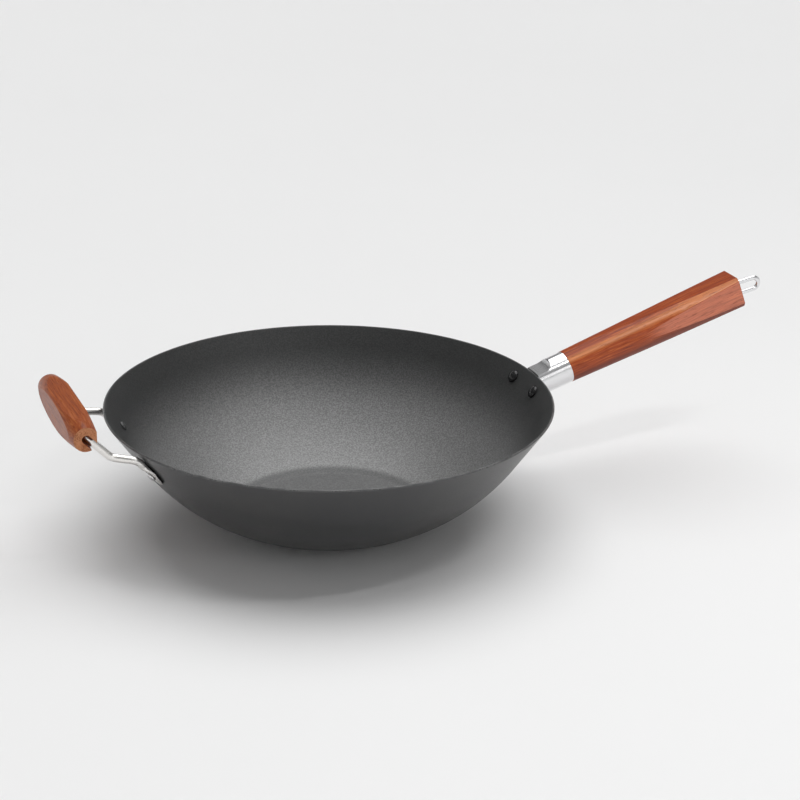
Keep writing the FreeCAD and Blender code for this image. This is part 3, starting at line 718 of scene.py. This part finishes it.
class GeometryTree(Graph):
    """A geometry node tree with named inputs, baked to a plain mesh."""

    def __init__(self, name: str) -> None:
        """Makes an empty tree with a geometry output.

        Args:
            name: The tree's name.
        """
        super().__init__(bpy.data.node_groups.new(name, "GeometryNodeTree"))
        self.tree.interface.new_socket("Geometry", in_out="OUTPUT", socket_type="NodeSocketGeometry")
        self.entry = self.tree.nodes.new("NodeGroupInput")
        self.values: dict[str, Any] = {}

    def input(self, name: str, kind: str, value: Any) -> bpy.types.NodeSocket:
        """Adds one named input.

        Args:
            name: The input's name.
            kind: Its socket type, without the usual prefix.
            value: What the modifier sets it to.

        Returns:
            The input's socket inside the tree.
        """
        made = self.tree.interface.new_socket(name, in_out="INPUT", socket_type=f"NodeSocket{kind}")
        self.values[made.identifier] = value
        return self.entry.outputs[name]

    def start(self) -> bpy.types.NodeSocket:
        """Adds the input for the mesh that the tree starts from.

        Returns:
            The mesh inside the tree.
        """
        self.tree.interface.new_socket("Geometry", in_out="INPUT", socket_type="NodeSocketGeometry")
        return self.entry.outputs["Geometry"]

    def number(self, name: str, value: float) -> Term:
        """Adds one named number.

        Args:
            name: The input's name.
            value: What the modifier sets it to.

        Returns:
            The number inside the tree.
        """
        return Term(self, self.input(name, "Float", value))

    def store(self, geometry: bpy.types.NodeSocket, mark: Mark, value: Term) -> bpy.types.NodeSocket:
        """Keeps a value on the points, for the finish to read.

        Args:
            geometry: The geometry so far.
            mark: The value's name.
            value: The value.

        Returns:
            The geometry with that value.
        """
        kind = {"data_type": "FLOAT", "domain": "POINT"}
        sockets = {"Geometry": geometry, "Name": mark.value, "Value": value}
        return self.node("GeometryNodeStoreNamedAttribute", kind, sockets).outputs[0]

    def finish(self, geometry: bpy.types.NodeSocket, material: bpy.types.Material) -> None:
        """Ends the tree.

        Args:
            geometry: What the tree has made.
            material: The finish of all its faces.
        """
        real = self.node("GeometryNodeRealizeInstances", None, {0: geometry})
        sockets = {"Geometry": real.outputs[0], "Material": material}
        dressed = self.node("GeometryNodeSetMaterial", None, sockets)
        self.node("NodeGroupOutput", None, {0: dressed.outputs[0]})

    def bake(self, name: str, start: bpy.types.Mesh) -> bpy.types.Object:
        """Runs the tree and keeps its result as a plain mesh.

        Args:
            name: The piece's name.
            start: The mesh that the tree starts from.

        Returns:
            The finished object.
        """
        source = added(f"{name}_source", start)
        modifier = source.modifiers.new("shape", "NODES")
        modifier.node_group = self.tree
        for identifier, value in self.values.items():
            modifier[identifier] = value
        graph = bpy.context.evaluated_depsgraph_get()
        mesh = bpy.data.meshes.new_from_object(source.evaluated_get(graph))
        mesh.name = name
        bpy.data.objects.remove(source)
        return added(name, mesh)


def carry(piece: bpy.types.Object, body: Body, slot: Slot, *nodes: str) -> None:
    """Puts a finished piece on its body in place of CAD nodes.

    Args:
        piece: The piece.
        body: The body that it rides on.
        slot: The record's finish that it would take; not used.
        nodes: The CAD nodes that it stands for.
    """
    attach(piece, body.value)
    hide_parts(*nodes)
    log.info("%s: %d faces, for %s", piece.name, len(piece.data.polygons), ", ".join(nodes))


def dress(node: str, finish: Finish) -> None:
    """Gives a CAD node its finish.

    Args:
        node: The node's name.
        finish: Its finish.
    """
    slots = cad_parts[node].data.materials
    slots.clear()
    slots.append(finish.material())
    log.info("%s: %s", node, finish.name)


@dataclass
class Bowl:
    """The pressed bowl: a flat base, two bends and a straight flared wall with a round lip."""

    rim_radius: float = 0.178
    rim_height: float = 0.095
    base_radius: float = 0.068
    corner_radius: float = 0.030
    body_radius: float = 0.165
    wall_straight: float = 0.0412
    sheet: float = 0.0018
    rows: int = 191
    columns: int = 256
    lip_share: float = 0.04
    seam: float = 0.00001
    finish: Finish = field(default_factory=SeasonedSteel)

    @property
    def corner_turn(self) -> float:
        """How far the corner bend turns, so that both bends and the straight wall meet smoothly.

        Returns:
            The angle in radians.
        """
        across = self.rim_radius - self.base_radius
        above = self.rim_height - self.corner_radius
        bends = self.body_radius - self.corner_radius
        line = math.hypot(across, above)
        curve = math.hypot(self.body_radius, self.wall_straight)
        angle = math.acos((bends ** 2 + line ** 2 - curve ** 2) / (2 * bends * line))
        return angle + math.atan2(above, across) - math.pi / 2

    @property
    def wall_angle(self) -> float:
        """Slope of the straight wall above level.

        Returns:
            The angle in radians.
        """
        bends = self.body_radius - self.corner_radius
        across = self.rim_radius - self.base_radius + bends * math.sin(self.corner_turn)
        above = self.rim_height - self.corner_radius - bends * math.cos(self.corner_turn)
        return math.pi / 2 + math.atan2(above, across) - math.atan2(self.wall_straight, self.body_radius)

    def wall_frame(self, drop: float, side: float) -> tuple[Vector, Vector]:
        """A spot on the outer wall and the direction out of it.

        Args:
            drop: Height below the rim's outer edge.
            side: Distance from the handles' plane, towards +Y.

        Returns:
            The spot and the outward normal, on the long handle's side.
        """
        radius = self.rim_radius - drop / math.tan(self.wall_angle)
        around = math.asin(side / radius)
        outward = Vector((math.cos(around), math.sin(around), 0.0))
        spot = outward * radius + Vector((0.0, 0.0, self.rim_height - drop))
        normal = outward * math.sin(self.wall_angle) - Vector((0.0, 0.0, math.cos(self.wall_angle)))
        return spot, normal

    def tree(self) -> GeometryTree:
        """A sheet of rows and columns, rolled into the bowl by the rule of its half section.

        Returns:
            The tree.
        """
        tree = GeometryTree("pressed_bowl")
        base = tree.number("Base radius", self.base_radius)
        half = 0.5 * tree.number("Sheet", self.sheet)
        corner = tree.number("Corner radius", self.corner_radius) - half
        turn = tree.number("Corner turn", self.corner_turn)
        curve = tree.number("Body radius", self.body_radius) - half
        slope = tree.number("Wall angle", self.wall_angle)
        straight = tree.number("Straight wall", self.wall_straight)
        lip_share = tree.number("Lip share", self.lip_share)
        rows = tree.input("Rows", "Int", self.rows)
        columns = tree.input("Columns", "Int", self.columns)
        # Across, the sheet runs from -1 outside over the lip at 0 to 1 inside. Around, it is one turn long.
        sizes = {"Size X": 2.0, "Size Y": 2.0 * math.pi, "Vertices X": rows, "Vertices Y": columns}
        sheet = tree.node("GeometryNodeMeshGrid", None, sizes)
        across, around, _ = tree.parts(tree.node("GeometryNodeInputPosition").outputs[0])
        curve_start = base + corner * turn
        wall_start = curve_start + curve * (slope - turn)
        inward = ((abs(across) - lip_share) / (1.0 - lip_share)).clamped(0.0, 1.0)
        run = (wall_start + straight) * (1.0 - inward)
        corner_bend = ((run - base) / corner).clamped(0.0, turn)
        curve_bend = ((run - curve_start) / curve).clamped(0.0, slope - turn)
        wall = (run - wall_start).clamped(0.0, straight)
        curved = turn + curve_bend
        radius = run.apply("MINIMUM", base) + corner * corner_bend.sine() + wall * slope.cosine()
        radius = radius + curve * (curved.sine() - turn.sine())
        height = half + corner * (1.0 - corner_bend.cosine()) + wall * slope.sine()
        height = height + curve * (turn.cosine() - curved.cosine())
        bend = corner_bend + curve_bend
        face = (across / lip_share).clamped(-1.0, 1.0) * (math.pi / 2)
        radius = radius + half * (face.cosine() * bend.cosine() - face.sine() * bend.sine())
        height = height + half * (face.sine() * bend.cosine() + face.cosine() * bend.sine())
        spot = tree.joined(radius * around.cosine(), radius * around.sine(), height)
        marked = tree.store(sheet.outputs[0], Mark.INSIDE, 0.5 + 0.5 * face.sine())
        marked = tree.store(marked, Mark.LIP, face.cosine())
        rolled = tree.node("GeometryNodeSetPosition", None, {"Geometry": marked, "Position": spot})
        seam = {"Geometry": rolled.outputs[0], "Distance": self.seam}
        closed = tree.node("GeometryNodeMergeByDistance", None, seam)
        outwards = tree.node("GeometryNodeFlipFaces", None, {0: closed.outputs[0]})
        smooth = tree.node("GeometryNodeSetShadeSmooth", None, {"Geometry": outwards.outputs[0]})
        tree.finish(smooth.outputs[0], self.finish.material())
        return tree

    def build(self) -> None:
        """Makes the bowl in place of its CAD node."""
        bowl = self.tree().bake("bowl", bpy.data.meshes.new("bowl_start"))
        carry(bowl, Body.WOK, Slot.BOWL, "wok_bowl")


@dataclass
class Rivet:
    """A closed rivet with a crowned head at each end, seated at height 0, with +Z out of the wall.

    Both heads are given by their radius and height.
    """

    shank: float
    inner_head: Pair
    outer_head: Pair
    inside: float
    outside: float
    edge: float = 0.0004
    steps: int = 8
    sides: int = 40

    def head(self, radius: float, height: float) -> list[Pair]:
        """Half section of a head from its crown to its rolled edge.

        Args:
            radius: The head's radius.
            height: The head's height.

        Returns:
            Points as radius and height above the seat.
        """
        dome = height - self.edge
        angles = quarter(self.steps)
        crown = [(radius * math.sin(angle), self.edge + dome * math.cos(angle)) for angle in angles]
        return [*crown, (radius, self.edge / 2), (radius - self.edge, 0.0)]

    def mesh(self) -> bpy.types.Mesh:
        """The rivet as one closed mesh.

        Returns:
            The mesh.
        """
        outer = [(r, self.outside + z) for r, z in self.head(*self.outer_head)]
        inner = [(r, -self.inside - z) for r, z in self.head(*self.inner_head)]
        profile = [*outer, (self.shank, self.outside), (self.shank, -self.inside), *reversed(inner)]
        made = bmesh.new()
        loops = []
        for radius, height in profile:
            if radius == 0.0:
                loops.append([made.verts.new((0.0, 0.0, height))] * self.sides)
            else:
                loops.append([made.verts.new(spot) for spot in ring(radius, height, self.sides)])
        for upper, lower in zip(loops, loops[1:]):
            for side in range(self.sides):
                other = (side + 1) % self.sides
                corners = dict.fromkeys([upper[side], lower[side], lower[other], upper[other]])
                made.faces.new(list(corners)).smooth = True
        bmesh.ops.recalc_face_normals(made, faces=made.faces)
        mesh = bpy.data.meshes.new("rivet")
        made.to_mesh(mesh)
        made.free()
        inside = mesh.attributes.new(Mark.INSIDE.value, "FLOAT", "POINT")
        for item, vertex in zip(inside.data, mesh.vertices):
            item.value = 1.0 if vertex.co.z < 0.0 else 0.0
        return mesh


@dataclass
class RivetPair:
    """Two rivets of one kind, set square to the wall."""

    name: str
    rivet: Rivet
    places: list[tuple[Vector, Vector]]
    finish: Finish
    slot: Slot
    nodes: tuple[str, str]

    def build(self) -> None:
        """Sets the rivet at both its places in place of the CAD nodes."""
        pattern = added(f"{self.name}_pattern", self.rivet.mesh())
        start = bpy.data.meshes.new(f"{self.name}_places")
        start.from_pydata([spot for spot, _ in self.places], [], [])
        facing = start.attributes.new(Mark.FACING.value, "FLOAT_VECTOR", "POINT")
        for item, (_, normal) in zip(facing.data, self.places):
            item.vector = normal
        tree = GeometryTree(self.name)
        spots = tree.start()
        shape = tree.node("GeometryNodeObjectInfo", None, {"Object": tree.input("Rivet", "Object", pattern)})
        kind = {"data_type": "FLOAT_VECTOR"}
        normal = tree.node("GeometryNodeInputNamedAttribute", kind, {"Name": Mark.FACING.value})
        turn = tree.node("FunctionNodeAlignRotationToVector", {"axis": "Z"}, {"Vector": normal.outputs[0]})
        points = tree.node("GeometryNodeMeshToPoints", None, {"Mesh": spots})
        placed = tree.node("GeometryNodeInstanceOnPoints", None, {
            "Points": points.outputs[0], "Instance": shape.outputs["Geometry"], "Rotation": turn.outputs[0],
        })
        tree.finish(placed.outputs[0], self.finish.material())
        made = tree.bake(self.name, start)
        bpy.data.objects.remove(pattern)
        carry(made, Body.WOK, self.slot, *self.nodes)


@dataclass
class LongHandle:
    """The long handle: socket, wooden grip, tie rod, hanging loop and two black rivets."""

    bowl: Bowl
    drop: float = 0.009
    rise: float = math.radians(17.9)
    rivet_pitch: float = 0.0386
    rivet_shank: float = 0.0030
    rivet_head: Pair = (0.0054, 0.0029)
    rivet_tail: Pair = (0.0048, 0.0020)
    ear: float = 0.0020
    seat_gap: float = 0.0001

    @property
    def origin(self) -> Vector:
        """Where the handle's axis meets the outer wall."""
        spot, _ = self.bowl.wall_frame(self.drop, 0.0)
        return spot

    def build(self) -> None:
        """Dresses the handle and sets its rivets."""
        turn = (0.0, -self.rise, 0.0)
        dress("handle_socket", PolishedSteel(name="bright_socket", turn=turn, rough=0.16))
        # The long grip's wood carries painted light and shade: a painted highlight on the shoulders, a
        # painted sheen on the flanks, painted shade on the top and underside
        dress("long_grip", LacqueredWood(
            name="long_grip_wood", origin=tuple(self.origin), turn=turn, painted_light_share=0.65,
        ))
        dress("tie_rod", PolishedSteel(name="drawn_rod", turn=turn, rough=0.25, colour=(0.55, 0.55, 0.56)))
        dress("hanging_loop", PolishedSteel(name="bright_loop", turn=turn))
        rivet = Rivet(
            shank=self.rivet_shank, inner_head=self.rivet_head, outer_head=self.rivet_tail,
            inside=self.bowl.sheet + self.seat_gap, outside=self.ear + 2 * self.seat_gap,
        )
        places = [self.bowl.wall_frame(self.drop, side * self.rivet_pitch) for side in (0.5, -0.5)]
        RivetPair("handle_rivets", rivet, places, BlackRivet(), Slot.RIVET,
                  ("handle_rivet_left", "handle_rivet_right")).build()


@dataclass
class HelperHandle:
    """The helper handle: a bent wire with flattened ends, a wooden barrel grip and two rivets."""

    bowl: Bowl
    drop: float = 0.019
    half_gap: float = 0.049
    rivet_shank: float = 0.0024
    rivet_head: Pair = (0.0040, 0.0019)
    lug: float = 0.0032
    seat_gap: float = 0.0001
    reach: float = 0.032
    lift: float = 0.0197

    def build(self) -> None:
        """Dresses the handle and sets its rivets."""
        middle = (-self.bowl.rim_radius - self.reach, 0.0, self.bowl.rim_height + self.lift)
        turn = (0.0, 0.0, math.pi / 2)
        dress("helper_wire", PolishedSteel(name="bright_wire", rough=0.24, colour=(0.86, 0.84, 0.81)))
        dress("helper_grip", LacqueredWood(
            name="helper_grip_wood", origin=middle, turn=turn, gloss=0.6, gloss_rough=0.10, edge_loss=0.5,
            dark=(0.170, 0.030, 0.007), middle=(0.330, 0.072, 0.013), pale=(0.440, 0.130, 0.034),
        ))
        rivet = Rivet(
            shank=self.rivet_shank, inner_head=self.rivet_head, outer_head=self.rivet_head,
            inside=self.bowl.sheet + self.seat_gap, outside=self.lug + 2 * self.seat_gap,
        )
        half_turn = Matrix.Rotation(math.pi, 3, "Z")
        places = []
        for side in (-self.half_gap, self.half_gap):
            spot, normal = self.bowl.wall_frame(self.drop, side)
            places.append((half_turn @ spot, half_turn @ normal))
        RivetPair("helper_rivets", rivet, places, BurntInRivet(), Slot.HELPER_RIVET,
                  ("helper_rivet_left", "helper_rivet_right")).build()


@dataclass(frozen=True)
class Lamp:
    """One soft lamp with a flat oblong face."""

    name: str
    place: Triple
    aim: Triple
    size: Pair
    watts: float

    def build(self) -> None:
        """Hangs the lamp."""
        data = bpy.data.lights.new(self.name, "AREA")
        data.shape = "RECTANGLE"
        data.size, data.size_y = self.size
        data.energy = self.watts
        lamp = added(self.name, data)
        lamp.location = self.place
        lamp.rotation_euler = (Vector(self.aim) - Vector(self.place)).to_track_quat("-Z", "Y").to_euler()


@dataclass
class Studio:
    """Camera, soft lights, and a plain pale floor that bends up into a backdrop."""

    # Camera
    eye: Vector = field(default_factory=lambda: Vector((-0.52418, -1.45594, 0.70390)))
    right: Vector = field(default_factory=lambda: Vector((0.92949, -0.36869, 0.01040)))
    up: Vector = field(default_factory=lambda: Vector((0.12579, 0.34336, 0.93074)))
    lens: float = 94.3155
    sensor: float = 36.0
    # Floor and backdrop
    floor_radius: float = 5.0
    floor_sides: int = 96
    cove: float = 1.4
    cove_steps: int = 12
    backdrop_height: float = 2.4
    floor_drop: float = 0.0006
    # Light from all round, the main light and two lamps
    sky: float = 0.33
    wall: float = 0.14
    wall_tops: Pair = (0.20, 0.80)
    key: float = 0.65
    key_width: float = math.radians(64.0)
    key_aim: Vector = field(default_factory=lambda: Vector((-0.20, -0.28, -0.94)))
    lamps: tuple[Lamp, ...] = (
        Lamp(name="front", place=(1.1, -2.4, 1.3), aim=(0.05, 0.0, 0.06), size=(1.0, 0.7), watts=3.5),
        Lamp(
            name="over_handle", place=(0.36, -0.47, 0.89), aim=(0.36, 0.0, 0.125), size=(0.30, 0.045),
            watts=0.95,
        ),
    )

    def camera(self) -> None:
        """Sets the camera where the photo was taken from."""
        data = bpy.data.cameras.new("camera")
        data.lens = self.lens
        data.sensor_width = self.sensor
        back = self.right.cross(self.up)
        facing = Matrix((self.right, self.up, back)).transposed().to_4x4()
        camera = added("camera", data)
        camera.matrix_world = Matrix.Translation(self.eye) @ facing
        bpy.context.scene.camera = camera

    def ceiling(self) -> None:
        """Hangs the main light: a wide soft round light high up behind the wok."""
        data = bpy.data.lights.new("ceiling", "SUN")
        data.energy = self.key * math.pi
        data.angle = self.key_width
        lamp = added("ceiling", data)
        lamp.rotation_euler = self.key_aim.to_track_quat("-Z", "Y").to_euler()

    def world(self) -> None:
        """Lets soft grey light in from all round, brighter from above than from the walls."""
        world = bpy.data.worlds.new("studio")
        world.use_nodes = True
        world.node_tree.nodes.clear()
        graph = Graph(world.node_tree)
        _, _, height = graph.parts(graph.node("ShaderNodeTexCoord").outputs["Object"])
        level = self.wall + (self.sky - self.wall) * height.ramp(*self.wall_tops)
        light = graph.node("ShaderNodeBackground", None, {"Color": (1.0, 1.0, 1.0), "Strength": level})
        graph.node("ShaderNodeOutputWorld", None, {"Surface": light.outputs[0]})
        bpy.context.scene.world = world

    def floor_section(self) -> list[Pair]:
        """Half section of the floor and backdrop from the floor's edge: a round cove, then upright.

        Returns:
            Points as radius and height.
        """
        cove = [(math.sin(turn), 1.0 - math.cos(turn)) for turn in quarter(self.cove_steps)]
        bend = [(self.floor_radius + self.cove * out, self.cove * up) for out, up in cove]
        return [*bend, (self.floor_radius + self.cove, self.backdrop_height)]

    def floor(self) -> None:
        """Lays the floor just under the bowl's base and bends it up into a pale backdrop all round."""
        section = self.floor_section()
        points = [(0.0, 0.0, -self.floor_drop)]
        for radius, height in section:
            points += ring(radius, height - self.floor_drop, self.floor_sides)
        faces = []
        for side in range(self.floor_sides):
            other = (side + 1) % self.floor_sides
            faces.append((0, 1 + side, 1 + other))
            for row in range(len(section) - 1):
                low = 1 + row * self.floor_sides
                high = low + self.floor_sides
                faces.append((low + side, high + side, high + other, low + other))
        mesh = bpy.data.meshes.new("floor")
        mesh.from_pydata(points, [], faces)
        mesh.shade_smooth()
        mesh.materials.append(PaleFloor().material())
        floor = added("floor", mesh)

    def build(self) -> None:
        """Sets up the whole studio."""
        bpy.context.scene.view_settings.view_transform = "Standard"
        self.camera()
        self.world()
        self.floor()
        self.ceiling()
        for lamp in self.lamps:
            lamp.build()
        log.info("studio: camera, floor and lamps")


def main() -> None:
    """Builds the wok and its studio."""
    logging.basicConfig(level=logging.INFO, format="%(name)s: %(message)s")
    bowl = Bowl()
    bowl.build()
    LongHandle(bowl).build()
    HelperHandle(bowl).build()
    Studio().build()


if __name__ == "__main__":
    main()
